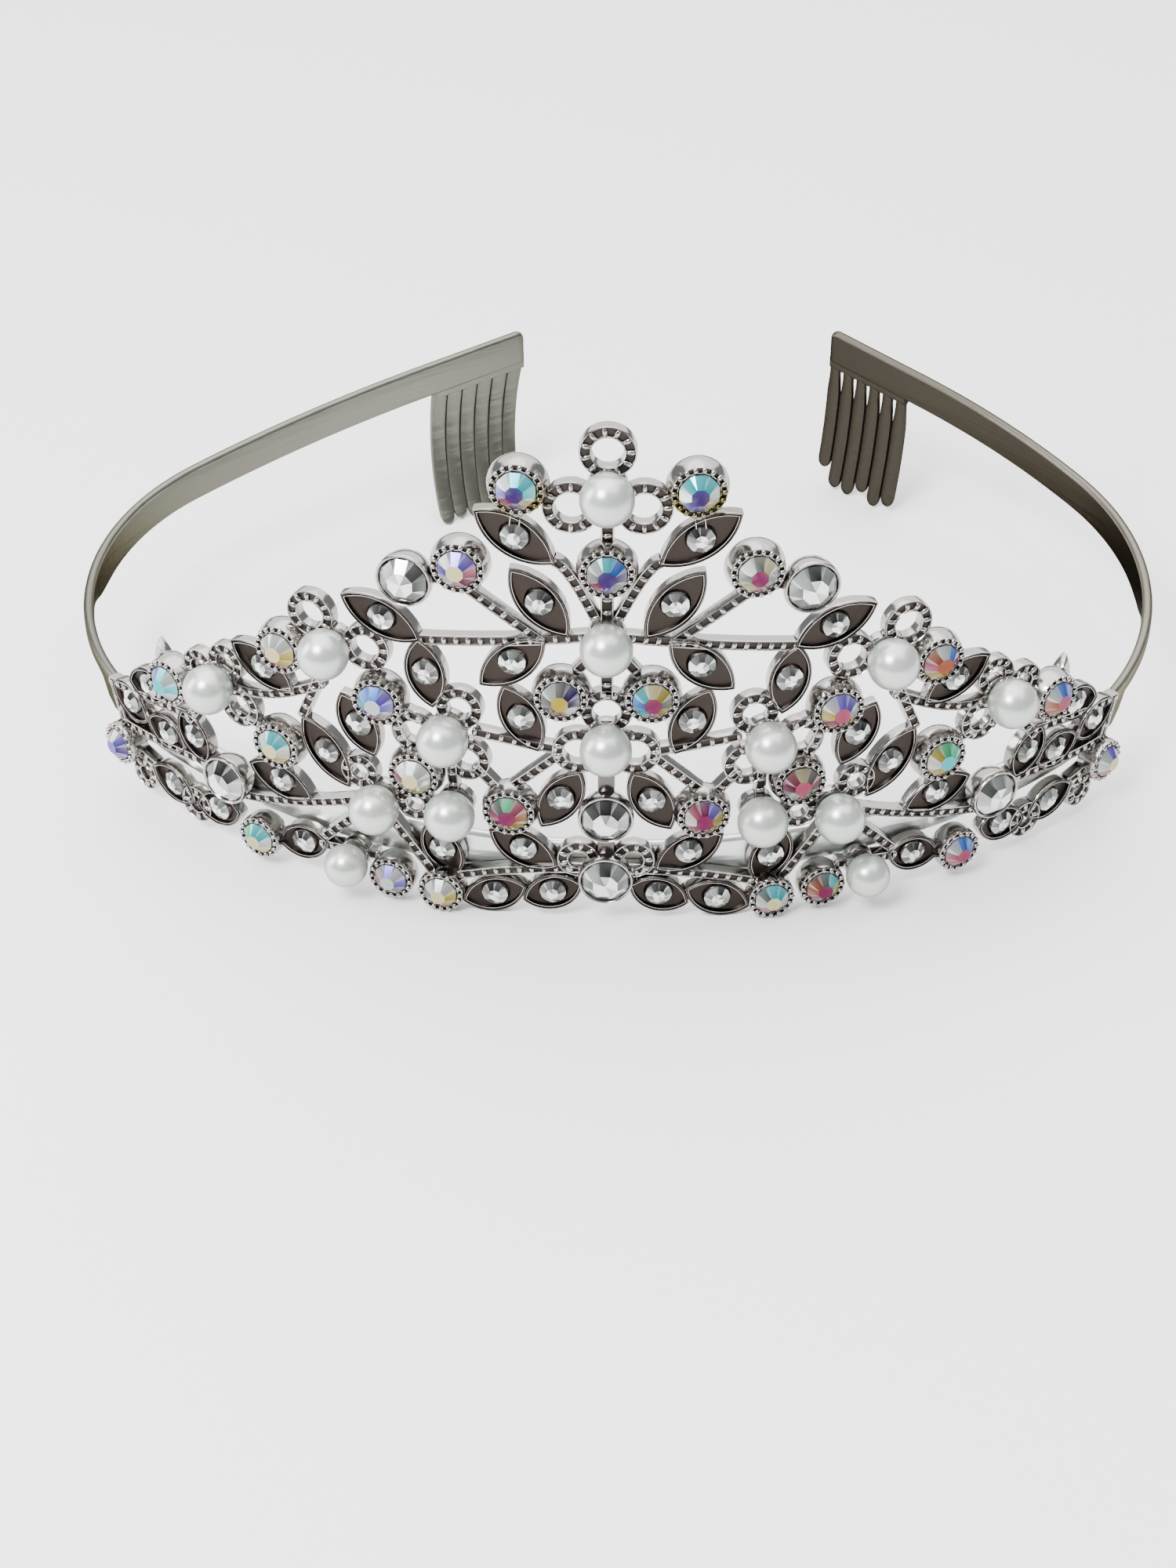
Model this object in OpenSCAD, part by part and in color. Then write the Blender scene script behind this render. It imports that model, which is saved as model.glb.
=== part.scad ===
// Crown headband: an openwork panel of leaves, loops and set stones on the front
// of a flat horseshoe band that ends in two combs.
// The chart gives each ornament by its arc length s along the band's outer face
// from the middle of the front, and by its height z over the panel's foot.

/* [Band] */
// Radius of the strip's plan across the front
front_r = 87; // [85:0.5:89]
// Angle that each half of the front arc turns through
front_turn = 39; // [38:0.5:40]
// Radius of the panel's plan at its right end
right_temple_r = 47; // [45:0.5:49]
// Angle of the short arc behind the right end of the panel
right_temple_turn = 10; // [9.5:0.5:10.5]
// Radius of the panel's plan at its left end
left_temple_r = 62; // [60:0.5:64]
// Angle of the short arc behind the left end of the panel
left_temple_turn = 7.5; // [7:0.5:8]
// Radius of the right side behind the panel
right_r = 40; // [38:0.5:42]
// Angle of the right side
right_turn = 74.5; // [72:0.5:77]
// Radius of the last stretch of the right arm
right_arm_r = 127; // [100:1:200]
// Angle of that stretch
right_arm_turn = 14; // [10:0.5:16]
// Radius of the left side, which is sprung further in
left_r = 34; // [32:0.5:36]
// Angle of the left side
left_turn = 89; // [86:0.5:92]
// Radius of the last stretch of the left arm
left_arm_r = 225; // [200:5:300]
// Angle of that stretch
left_arm_turn = 10; // [7:0.5:11]
// Length of the straight end of each arm
arm_end = 17; // [16:0.5:18]
// Thickness of the strip
band_t = 1.3; // [1.2:0.1:1.5]
// Height of the strip's top over the panel's foot at the front
band_top = 8.1; // [7.5:0.1:8.5]
// Slope at which the strip's top rises towards the combs
band_rise = 7.75; // [7:0.25:8.5]

/* [Combs] */
// Width of the right comb along the strip
right_comb_w = 14.5; // [13:0.1:15.5]
// Width of the left comb along the strip
left_comb_w = 15.3; // [13:0.1:15.5]
// Number of teeth on each comb
teeth = 6; // [5:1:7]
// Width of one tooth of the right comb
right_tooth_w = 1.9; // [1.5:0.1:2.2]
// Width of one tooth of the left comb, whose slots are nearly closed
left_tooth_w = 2.2; // [1.5:0.1:2.2]
// Depth of the solid plate between the strip and the slots
comb_root = 1; // [0.6:0.1:2]
// Thickness of the comb plate
comb_t = 1; // [0.8:0.1:1.2]
// Radius at which the right teeth curl in towards the head
right_curl_r = 80; // [50:1:120]
// Radius at which the left teeth curl in
left_curl_r = 28; // [28:1:60]
// Share of their spacing that the left teeth keep at their tips
left_closing = 0.88; // [0.88:0.01:1]
// How far the tips of the left teeth lean towards the front
left_lean = 3; // [0:0.5:6]

/* [Panel] */
// Depth of the casting from back to front
cast_t = 1.9; // [1.6:0.1:2.2]
// Gap between the strip's face and the back of the casting
solder_gap = 0.1; // [0.05:0.05:0.3]
// Width of the leaves
leaf_w = 5; // [4.4:0.1:5.4]
// Width of the raised rim round a leaf
leaf_rim = 0.55; // [0.4:0.05:0.7]
// Height of a leaf's floor over its back
leaf_floor = 0.9; // [0.7:0.1:1.2]
// Width of the wire in the loops
loop_wire = 1.4; // [1.2:0.1:1.6]
// Width of the stems
stem_w = 1.3; // [1.1:0.1:1.6]

/* [Stones and pearls] */
// Diameter of the pearls
pearl_d = 6; // [5.6:0.1:6]
// Diameter of the lowest pearl on each side
foot_pearl_d = 5.3; // [5:0.1:5.6]
// Distance of a pearl's centre in front of the strip
pearl_out = 4.3; // [4.2:0.1:4.6]
// Diameter of the iridescent stones
iris_d = 4.5; // [4:0.1:4.7]
// Diameter of the beaded ring round an iridescent stone
ring_d = 6.3; // [6:0.1:6.6]
// Diameter of the iridescent stones along the foot
foot_iris_d = 4.1; // [3.8:0.1:4.2]
// Diameter of the ring round a stone along the foot
foot_ring_d = 5.7; // [5.4:0.1:5.8]
// Diameter of the clear stones in plain cups
clear_d = 5.6; // [5:0.1:5.8]
// Diameter of the small stones in the leaves
leaf_stone_d = 3; // [2.6:0.1:3.2]

/* [Hidden] */
$fn = 32;

// Clearance between a stone or pearl and its seat
fit = 0.05;

// Depth that brings the middle of the plan to the origin
set_back = 50.56;

// Level of the comb tips and of the lowest cups, which the piece stands on
foot_z = -1.85;

cup_t = 3.3;
ring_t = 1.1;
cup_wall = 0.4;
gem_back = 1.5;
iris_bore = gem_back + 0.4;
clear_bore = gem_back + 0.9;
leaf_bore = 1.5;
seat_d = 4.4;
seat_h = 1.9;
round_fn = 64;
sweep_fn = 180;

// Height of the walls that the strip is cut from, and length of the keys in their joints
wall_h = 40;
key = 1.6;

// Height of the strip: full behind the panel, narrow at the temples, full along the arms
// Columns: y behind the front, height
STRIP = [
    [-2, 5],
    [29, 5],
    [31, 2],
    [43, 2],
    [45.5, 2.5],
    [47.5, 3.4],
    [49.5, 4.3],
    [51.5, 4.8],
    [54, 5],
    [120, 5]
];

// How much each tooth falls short of the surface, from the front of its comb
RIGHT_LIFTS = [0.8, 0, 1.2, 0, 0.2, 2.6];
LEFT_LIFTS = [0, 0.3, 0, 0.4, 0.2, 0.6];

// Columns: width, width of a tooth, curl radius, share of the spacing kept at the tips, lean, lifts
RIGHT_COMB = [right_comb_w, right_tooth_w, right_curl_r, 1, 0, RIGHT_LIFTS];
LEFT_COMB = [left_comb_w, left_tooth_w, left_curl_r, left_closing, left_lean, LEFT_LIFTS];

// Middle of the panel: s is 0 for every row
// Columns: z
CENTRE_PEARLS = [57, 38, 24.5];
CENTRE_IRIS = 47;
CENTRE_CLEAR = [13.8, 4.8];

// Columns: z of the centre, mid radius
CENTRE_LOOPS = [[61.2, 2.4], [28, 2.3]];

// Columns: z of the low end, z of the high end, width
CENTRE_STEMS = [
    [49.5, 55.5, 1.5],
    [39.5, 44.5, 1.5],
    [30, 36.5, 1.5],
    [16.4, 23, 2],
    [7.4, 11.4, 2]
];

// Right half of the panel, which the left half mirrors
// Columns: s, z
PEARLS = [[31.5, 33], [47.5, 23], [18, 24], [17.5, 13.5], [26.5, 12.5]];

// The lowest pearl: s, z
FOOT_PEARL = [30.4, 3.2];

// Columns: s, z
IRIS = [
    [9.5, 57],
    [16, 46.5],
    [5, 30.5],
    [11, 14],
    [26, 27],
    [22, 17.5],
    [38, 31],
    [39.5, 17],
    [55.5, 20]
];

// Iridescent stones along the foot
// Columns: s, z
FOOT_IRIS = [[19.3, 1], [25.4, 1.7], [43, 2.2], [66, 6]];

// Columns: s, z
CLEAR = [[22.1, 44], [47.5, 9]];

// Leaves that carry a small stone, those of the middle spray first
// Columns: s, z, angle, length
LEAVES = [
    [10, 50.4, 34, 11],
    [7.4, 42.2, 52, 10.8],
    [10.5, 34.1, -41, 10.2],
    [9.6, 26.6, 65, 9.8],
    [5.2, 15.6, -60, 9.6],
    [9.6, 8, 31, 9.6],
    [6.2, 1.9, -22, 7.8],
    [13.1, 0.9, -22, 8.6],
    [25.5, 37.8, 24, 10.6],
    [20.5, 31.3, 80, 9.4],
    [29, 22.4, 63, 9.2],
    [33.4, 17.4, 56, 10.6],
    [40, 11.1, 16, 9.4],
    [41.3, 27, 28, 9.8],
    [37.4, 2.8, -16, 7.4],
    [19.3, 6.5, 60, 7.8],
    [60.4, 16.8, -10, 7.4],
    [53, 12.6, 61, 7.6],
    [50, 3, -10, 7.4],
    [57.6, 3.4, 18, 7.8],
    [57.8, 11, 15, 7],
    [64.4, 12.6, 22, 7.6]
];
SPRAY = 8;

// Bare leaf tips that stand out behind a cup
// Columns: s, z, angle, length
TIPS = [[57.3, 21.3, 66, 6.2]];

// Columns: s, z, mid radius
LOOPS = [
    [3.9, 54.4, 2.5],
    [3.25, 22.4, 2.3],
    [3.2, 6.9, 1.85],
    [16.7, 27, 2.1],
    [16, 20, 2.1],
    [22.2, 22.9, 2.1],
    [34.3, 36.2, 2.3],
    [27.6, 33.2, 2.3],
    [45.2, 20, 2.1],
    [46.8, 25.6, 1.9],
    [51, 23.3, 1.9],
    [22.4, 12.6, 1.7],
    [29.2, 15.6, 1.7],
    [53.8, 2, 1.8],
    [63, 2.4, 1.6]
];

// Columns: s and z of one end, s and z of the other
STEMS = [
    [1.5, 38, 11.5, 36.8],
    [11, 36.8, 21, 35.7],
    [7.5, 37.4, 16.4, 44],
    [1.3, 40.4, 3.9, 45.8],
    [3.7, 45.4, 5.8, 47.6],
    [1.2, 36, 4.4, 32],
    [5.8, 22.6, 15, 24],
    [5.6, 21.6, 10.8, 16.8],
    [15, 19.2, 12.2, 16],
    [1.5, 5.5, 10.3, 4.6],
    [9.3, 4.9, 18.5, 2.6],
    [21.4, 24.6, 24.6, 26.2],
    [24.9, 24.6, 23, 20],
    [29, 11.6, 37.5, 8.8],
    [37, 8.9, 46.5, 6.6],
    [26.4, 11, 20.6, 2.9],
    [28.4, 10.6, 34.5, 4.4],
    [32, 31.5, 36.4, 21.6],
    [33.5, 26.8, 41, 23.2],
    [40.5, 23.3, 46.5, 22.8],
    [45.4, 19, 41.2, 17.8],
    [16.6, 43.9, 21.4, 44.2],
    [35, 32.4, 37, 31.4],
    [9.6, 54.6, 10, 51.6],
    [18, 22.5, 17.6, 14.5],
    [27.6, 3.6, 30.6, 3.2],
    [35, 3.2, 30.8, 3.6],
    [48.5, 24.5, 54, 20.8],
    [48.8, 21.4, 53.8, 14.6],
    [54, 15.4, 61, 14.8],
    [60.5, 14.8, 68.6, 13.6],
    [47.5, 6.8, 53.4, 9.4],
    [52, 9.2, 66, 8.6],
    [61, 4.6, 66, 5.8],
    [66, 7, 68, 13.4]
];

// Plan curves: each place is [x, y, heading]
function after_arc(p, r, a) =
    [p.x + r * (sin(p.z + a) - sin(p.z)), p.y - r * (cos(p.z + a) - cos(p.z)), p.z + a];
mid_front = [0, 0, 0];
panel_bend = after_arc(mid_front, front_r, front_turn);
front_s = front_r * front_turn * PI / 180;
function plan(s, temple_r) = s < front_s
    ? after_arc(mid_front, front_r, s / front_r * 180 / PI)
    : after_arc(panel_bend, temple_r, (s - front_s) / temple_r * 180 / PI);

// The arcs of each arm in order from the end of the front arc
// Columns: radius, angle
RIGHT_ARM = [[right_temple_r, right_temple_turn], [right_r, right_turn], [right_arm_r, right_arm_turn]];
LEFT_ARM = [[left_temple_r, left_temple_turn], [left_r, left_turn], [left_arm_r, left_arm_turn]];

// Place after the first count arcs of an arm
function arm_place(arcs, count) = count == 0
    ? panel_bend
    : after_arc(arm_place(arcs, count - 1), arcs[count - 1][0], arcs[count - 1][1]);

// Heights of the strip's edges at depth y along the arms
function strip_top(y) = band_top + y * tan(band_rise);
function strip_foot(y) = strip_top(y) - STRIP[len(STRIP) - 1][1];

// Node names
CENTRES = [for (i = [1:len(CENTRE_PEARLS)]) str("pearl_centre_", i)];
SIDES = ["left", "right"];
function sided(name, rows) = [for (side = SIDES, i = [1:len(rows)]) str(name, "_", side, "_", i)];

// Sets the whole piece down on its front cups and comb tips
module rested() {
    translate([0, -set_back, -foot_z]) children();
}

// Frame of an ornament: x along the band, y up and z out of its face, mirrored on the left
module on(side, s, z) {
    left = side == "left";
    p = plan(s, left ? left_temple_r : right_temple_r);
    mirror([left ? 1 : 0, 0, 0]) translate([p.x, p.y, z]) rotate([90, 0, p.z]) children();
}

// Upright wall along an arc of the plan that starts at p
module arc_wall(p, r, a) {
    translate([p.x, p.y, 0]) rotate([0, 0, p.z]) translate([0, r, 0]) rotate([0, 0, -90])
        rotate_extrude(angle = a, $fn = sweep_fn) translate([r - band_t, 0]) square([band_t, wall_h]);
}

// Block inside the wall that joins two arcs at p
module arc_key(p) {
    translate([p.x, p.y, 0]) rotate([0, 0, p.z]) translate([-key / 2, 0.2, 0])
        cube([key, band_t - 0.4, wall_h]);
}

module half_wall(arcs) {
    comb_in = arm_place(arcs, len(arcs));
    arc_wall(mid_front, front_r, front_turn);
    arc_key(mid_front);
    for (i = [0:len(arcs) - 1]) {
        arc_key(arm_place(arcs, i));
        arc_wall(arm_place(arcs, i), arcs[i][0], arcs[i][1]);
    }
    arc_key(comb_in);
    translate([comb_in.x, comb_in.y, 0]) rotate([0, 0, comb_in.z]) cube([arm_end, band_t, wall_h]);
}

// Outline of a tooth that leans from its root to its round tip
module tooth_outline(width, root_x, root_z, tip_x, tip_z) {
    half = width / 2;
    polygon(concat(
        [[root_x + width, root_z], [root_x, root_z]],
        [for (a = [180:15:360]) [tip_x + half + half * cos(a), tip_z + half + half * sin(a)]]
    ));
}

// Front view of a comb, with x along the strip's straight end and y as height
module comb_outline(p, comb) {
    width = comb[1];
    closing = comb[3];
    lean = comb[4];
    lifts = comb[5];
    pitch = (comb[0] - width) / (teeth - 1);
    start = arm_end - comb[0];
    near = strip_foot(p.y + start * sin(p.z));
    far = strip_foot(p.y + arm_end * sin(p.z));
    polygon([[start, near - comb_root], [arm_end, far - comb_root], [arm_end, far + 1], [start, near + 1]]);
    for (i = [0:teeth - 1]) {
        root_x = start + i * pitch;
        tip_x = start + i * pitch * closing - lean;
        tooth_outline(width, root_x, near + width / 2, tip_x, foot_z + lifts[i]);
    }
}

// Toothed plate, upright under the strip and curled in towards the head below it
module comb_plate(arcs, comb) {
    p = arm_place(arcs, len(arcs));
    curl_r = comb[2];
    lean = comb[4];
    run = arm_end + lean + 2;
    translate([p.x, p.y, 0]) rotate([0, 0, p.z]) intersection() {
        translate([0, curl_r, 0]) rotate([90, 0, 0]) linear_extrude(curl_r + band_t) comb_outline(p, comb);
        translate([-lean - 1, curl_r + band_t / 2, strip_foot(p.y)]) rotate([0, 90, 0]) difference() {
            cylinder(r = curl_r + comb_t / 2, h = run, $fn = sweep_fn);
            translate([0, 0, -1]) cylinder(r = curl_r - comb_t / 2, h = run + 2, $fn = sweep_fn);
        }
    }
}

// Side view of the strip, drawn with x as depth and y as height
module strip_profile() {
    count = len(STRIP);
    back = STRIP[count - 1][0];
    polygon(concat(
        [for (row = STRIP) [row[0], strip_top(row[0]) - row[1]]],
        [[back, strip_top(back)], [STRIP[0][0], strip_top(STRIP[0][0])]]
    ));
}

module strip() {
    intersection() {
        union() {
            half_wall(RIGHT_ARM);
            mirror([1, 0, 0]) half_wall(LEFT_ARM);
        }
        rotate([90, 0, 90]) linear_extrude(2 * front_r, center = true) strip_profile();
    }
}

module headband() {
    color("#a39d92") {
        strip();
        comb_plate(RIGHT_ARM, RIGHT_COMB);
        mirror([1, 0, 0]) comb_plate(LEFT_ARM, LEFT_COMB);
    }
}

// Pointed oval prism
module lens(length, width, height) {
    r = (length * length + width * width) / (4 * width);
    intersection_for (side = [-1, 1])
        translate([0, side * (r - width / 2), 0]) cylinder(r = r, h = height, $fn = 180);
}

// Leaf with a raised rim and a collar for its stone
module leaf(length) {
    inner = leaf_w - 2 * leaf_rim;
    translate([0, 0, solder_gap]) {
        difference() {
            lens(length, leaf_w, cast_t);
            translate([0, 0, leaf_floor]) lens(length * inner / leaf_w - leaf_rim, inner, cast_t);
        }
        cylinder(d = leaf_stone_d + 2 * cup_wall, h = cast_t - 0.3, $fn = round_fn);
    }
}

// Cup with the beaded ring round its mouth
module beaded_cup(stone_d, mouth_d) {
    translate([0, 0, solder_gap]) {
        cylinder(d = stone_d + 2 * cup_wall + 0.2, h = cup_t - 0.2, $fn = round_fn);
        translate([0, 0, cup_t - ring_t]) cylinder(d = mouth_d, h = ring_t, $fn = round_fn);
    }
}

// Plain bright cup of a clear stone
module plain_cup() {
    translate([0, 0, solder_gap]) cylinder(d = clear_d + 2 * cup_wall + 0.2, h = cup_t - 0.2, $fn = round_fn);
}

// Post under a pearl
module pearl_seat() {
    translate([0, 0, solder_gap]) cylinder(d = seat_d, h = seat_h, $fn = round_fn);
}

module loop_ring(mid_r) {
    translate([0, 0, solder_gap]) difference() {
        cylinder(r = mid_r + loop_wire / 2, h = cast_t - 0.1, $fn = round_fn);
        translate([0, 0, -1]) cylinder(r = mid_r - loop_wire / 2, h = cast_t + 2, $fn = round_fn);
    }
}

// Straight stem between two places of the chart
module stem(side, row, width) {
    run = row[2] - row[0];
    rise = row[3] - row[1];
    on(side, (row[0] + row[2]) / 2, (row[1] + row[3]) / 2) rotate([0, 0, atan2(rise, run)])
        translate([-norm([run, rise]) / 2, -width / 2, solder_gap + 0.05])
        cube([norm([run, rise]), width, cast_t - 0.15]);
}

// Round seat of a stone, open to the front
module stone_bore(stone_d, top, deep) {
    translate([0, 0, solder_gap + top - deep]) cylinder(d = stone_d + 2 * fit, h = cup_t, $fn = round_fn);
}

module pearl_hollow(d) {
    translate([0, 0, pearl_out]) sphere(d = d + 2 * fit, $fn = round_fn);
}

module middle_metal() {
    for (z = CENTRE_PEARLS) on("right", 0, z) pearl_seat();
    for (z = CENTRE_CLEAR) on("right", 0, z) plain_cup();
    for (row = CENTRE_LOOPS) on("right", 0, row[0]) loop_ring(row[1]);
    on("right", 0, CENTRE_IRIS) beaded_cup(iris_d, ring_d);
    for (row = CENTRE_STEMS) stem("right", [0, row[0], 0, row[1]], row[2]);
}

module half_metal(side) {
    for (row = concat(PEARLS, [FOOT_PEARL])) on(side, row[0], row[1]) pearl_seat();
    for (row = IRIS) on(side, row[0], row[1]) beaded_cup(iris_d, ring_d);
    for (row = FOOT_IRIS) on(side, row[0], row[1]) beaded_cup(foot_iris_d, foot_ring_d);
    for (row = CLEAR) on(side, row[0], row[1]) plain_cup();
    for (row = LOOPS) on(side, row[0], row[1]) loop_ring(row[2]);
    for (row = LEAVES) on(side, row[0], row[1]) rotate([0, 0, row[2]]) leaf(row[3]);
    for (row = TIPS) on(side, row[0], row[1]) rotate([0, 0, row[2]])
        translate([0, 0, solder_gap]) lens(row[3], leaf_w / 2, cast_t);
    for (row = STEMS) stem(side, row, stem_w);
}

module middle_seats() {
    for (z = CENTRE_PEARLS) on("right", 0, z) pearl_hollow(pearl_d);
    for (z = CENTRE_CLEAR) on("right", 0, z) stone_bore(clear_d, cup_t, clear_bore);
    on("right", 0, CENTRE_IRIS) stone_bore(iris_d, cup_t, iris_bore);
}

module half_seats(side) {
    for (row = PEARLS) on(side, row[0], row[1]) pearl_hollow(pearl_d);
    on(side, FOOT_PEARL[0], FOOT_PEARL[1]) pearl_hollow(foot_pearl_d);
    for (row = IRIS) on(side, row[0], row[1]) stone_bore(iris_d, cup_t, iris_bore);
    for (row = FOOT_IRIS) on(side, row[0], row[1]) stone_bore(foot_iris_d, cup_t, iris_bore);
    for (row = CLEAR) on(side, row[0], row[1]) stone_bore(clear_d, cup_t, clear_bore);
    for (row = LEAVES) on(side, row[0], row[1]) stone_bore(leaf_stone_d, cast_t, leaf_bore);
}

module openwork_panel() {
    color("#d4d3d6") difference() {
        union() {
            middle_metal();
            for (side = SIDES) half_metal(side);
        }
        middle_seats();
        for (side = SIDES) half_seats(side);
    }
}

// Pointed-back stone with a flat table, its girdle at z = 0
module gem(d, crown, table, back) {
    rotate_extrude($fn = round_fn) polygon([
        [0, -back],
        [d / 2, -0.15],
        [d / 2, 0.15],
        [table / 2, crown],
        [0, crown]
    ]);
}

module pearl(side, row, d) {
    color("#f2efe8") on(side, row[0], row[1]) translate([0, 0, pearl_out]) sphere(d = d, $fn = round_fn);
}

module iris_stone(side, row, d) {
    color("#a9b8e0") on(side, row[0], row[1]) translate([0, 0, solder_gap + cup_t - 0.3])
        gem(d, 0.9, d * 0.45, gem_back);
}

module clear_stone(side, row) {
    color("#dfe3e6") on(side, row[0], row[1]) translate([0, 0, solder_gap + cup_t - 0.5])
        gem(clear_d, 1.2, clear_d * 0.5, gem_back + 0.3);
}

module foot_stones(side) {
    for (row = FOOT_IRIS) iris_stone(side, row, foot_iris_d);
}

module leaf_stones(side, first, last) {
    color("#dfe3e6") for (i = [first:last])
        on(side, LEAVES[i][0], LEAVES[i][1]) translate([0, 0, solder_gap + cast_t - 0.5])
            gem(leaf_stone_d, 0.6, leaf_stone_d * 0.5, 0.9);
}

module middle_leaf_stones() {
    for (side = SIDES) leaf_stones(side, 0, SPRAY - 1);
}

rested() headband();
rested() openwork_panel();
for (i = [0:len(CENTRE_PEARLS) - 1])
    rested() pearl("right", [0, CENTRE_PEARLS[i]], pearl_d);
for (side = SIDES) {
    for (i = [0:len(PEARLS) - 1])
        rested() pearl(side, PEARLS[i], pearl_d);
    for (i = [0:len(IRIS) - 1])
        rested() iris_stone(side, IRIS[i], iris_d);
    for (i = [0:len(CLEAR) - 1])
        rested() clear_stone(side, CLEAR[i]);
}
rested() pearl("left", FOOT_PEARL, foot_pearl_d);  // foot_pearl_left
rested() pearl("right", FOOT_PEARL, foot_pearl_d);  // foot_pearl_right
rested() iris_stone("right", [0, CENTRE_IRIS], iris_d);  // iris_stone_centre
rested() clear_stone("right", [0, CENTRE_CLEAR[0]]);  // clear_stone_upper
rested() clear_stone("right", [0, CENTRE_CLEAR[1]]);  // clear_stone_lower
rested() foot_stones("left");  // foot_stones_left
rested() foot_stones("right");  // foot_stones_right
rested() middle_leaf_stones();  // leaf_stones_centre
rested() leaf_stones("left", SPRAY, len(LEAVES) - 1);  // leaf_stones_left
rested() leaf_stones("right", SPRAY, len(LEAVES) - 1);  // leaf_stones_right
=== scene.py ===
"""Looks of the crown headband: its casting, stones, pearls, band and combs, on a pale floor."""
import math

import bmesh
import bpy
from mathutils import Matrix, Vector


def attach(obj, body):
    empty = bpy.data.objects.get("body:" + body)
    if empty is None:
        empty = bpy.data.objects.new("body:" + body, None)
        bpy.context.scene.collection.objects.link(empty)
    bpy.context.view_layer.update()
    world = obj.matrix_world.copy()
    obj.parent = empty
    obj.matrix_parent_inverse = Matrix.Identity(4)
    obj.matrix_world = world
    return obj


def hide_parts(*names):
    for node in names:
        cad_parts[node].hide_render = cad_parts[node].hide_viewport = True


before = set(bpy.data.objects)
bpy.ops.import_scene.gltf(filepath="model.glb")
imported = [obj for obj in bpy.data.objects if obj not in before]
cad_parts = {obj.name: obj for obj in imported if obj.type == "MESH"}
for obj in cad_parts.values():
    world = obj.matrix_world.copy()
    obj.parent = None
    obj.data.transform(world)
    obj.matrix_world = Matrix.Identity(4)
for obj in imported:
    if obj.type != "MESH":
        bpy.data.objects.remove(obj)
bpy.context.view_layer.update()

MM = 0.001

# Plan of the band in millimetres: radius and turn in degrees of each arc, from the middle of the front
RIGHT_ARCS = [(87.0, 39.0), (47.0, 10.0), (40.0, 74.5), (127.0, 14.0)]
LEFT_ARCS = [(87.0, 39.0), (62.0, 7.5), (34.0, 89.0), (225.0, 10.0)]
ARM_END = 17.0
SET_BACK = 50.56
FOOT_Z = -1.85

# Strip, with its height at each y of the plan
BAND_T = 1.3
BAND_TOP = 8.1
BAND_RISE = math.radians(7.75)
STRIP = [
    (-2, 5), (29, 5), (31, 2), (43, 2), (45.5, 2.5), (47.5, 3.4),
    (49.5, 4.3), (51.5, 4.8), (54, 5), (120, 5),
]
STRIP_STEP = 1.5
TOP_ROUNDING = 0.96
# Rounded end of an arm: distance from its end, how far each face is drawn in, how far the top is lowered
ARM_END_ROWS = [(1.2, 0.0, 0.0), (0.7, 0.0, 0.12), (0.32, 0.06, 0.38), (0.08, 0.22, 0.8), (0.0, 0.42, 1.15)]

# Combs: closing draws the lower teeth towards the front one, lean moves every tip forward, breadths are
# shares of the tooth width at the root and below it, and lifts shortens each tooth, front tooth first
TEETH = 6
COMB_ROOT = 1.0
COMB_T = 1.0
TOOTH_HEAD = 1.2
TOOTH_TIP = 1.5
TOOTH_POINTS = 12
RIGHT_COMB = {
    "width": 14.5, "tooth": 1.9, "curl_r": 80.0, "closing": 1.0, "lean": 0.0,
    "breadths": (0.92, 1.26), "lifts": (0.8, 0.0, 1.2, 0.0, 0.2, 2.6),
}
LEFT_COMB = {
    "width": 15.3, "tooth": 2.2, "curl_r": 28.0, "closing": 0.88, "lean": 3.0,
    "breadths": (1.17, 1.1), "lifts": (0.0, 0.3, 0.0, 0.4, 0.2, 0.6),
}

# Casting
GAP = 0.1
CAST_T = 1.9
LEAF_W = 5.0
CUP_T = 3.3
LOOP_WIRE = 1.4
STEM_W = 1.3
PEARL_OUT = 4.3
IRIS_D = 4.5
RING_D = 6.3
FOOT_IRIS_D = 4.1
FOOT_RING_D = 5.7
CLEAR_D = 5.6
LEAF_STONE_D = 3.0
PEARL_D = 6.0
FOOT_PEARL_D = 5.3
STONE_GAP = 0.05
CUP_SWELL = 0.3
PEARL_SEAT_SHARE = 0.37
PANEL_END_TURN = 60.0
# The widest stem that has a channel with milgrain
CHANNEL_MAX_W = 1.6
# A bare tip: width as a share of a leaf's, thickness, and how much of it is lost at the points
TIP_W_SHARE = 0.42
TIP_T = 1.7
TIP_THINNING = 0.6

# Beads: pitch, height over the band's face, and half sizes along the path, across it and out of the face
LOOP_PITCH = 1.42
STEM_PITCH = 1.42
BEAD_PITCH = 0.98
WIRE_BEADS_OUT = 1.46
CUP_BEADS_OUT = 2.98
CUP_BEADS_INSET = 0.42
LOOP_BEAD = (0.36, 0.66, 0.36)
STEM_BEAD = (0.38, 0.63, 0.36)
CUP_BEAD = (0.33, 0.42, 0.38)

# Start and end in millimetres of each change of tint or finish
TARNISH_FOOT = (54, 57)
TARNISH_TOP = (61, 58.5)
TARNISH_SIDES = (5.5, 7.5)
# The next two fade the arms' tints, which carry painted shade: from comb to temple, and from the left arm to
# the mostly darker right arm.
COMB_TO_TEMPLE_SHADE = (38, -12)
LEFT_TO_RIGHT_SHADE = (-30, 30)
PANEL_TO_ARMS = (-33, -25)

# Camera fitted to the photo: place and aim in the chart's millimetres, and focal length
CAMERA_SPOT = (5.64, -248.65, 195.76)
CAMERA_AIM = (-2.16, 0.0, 16.76)
CAMERA_LENS = 60.48

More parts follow.
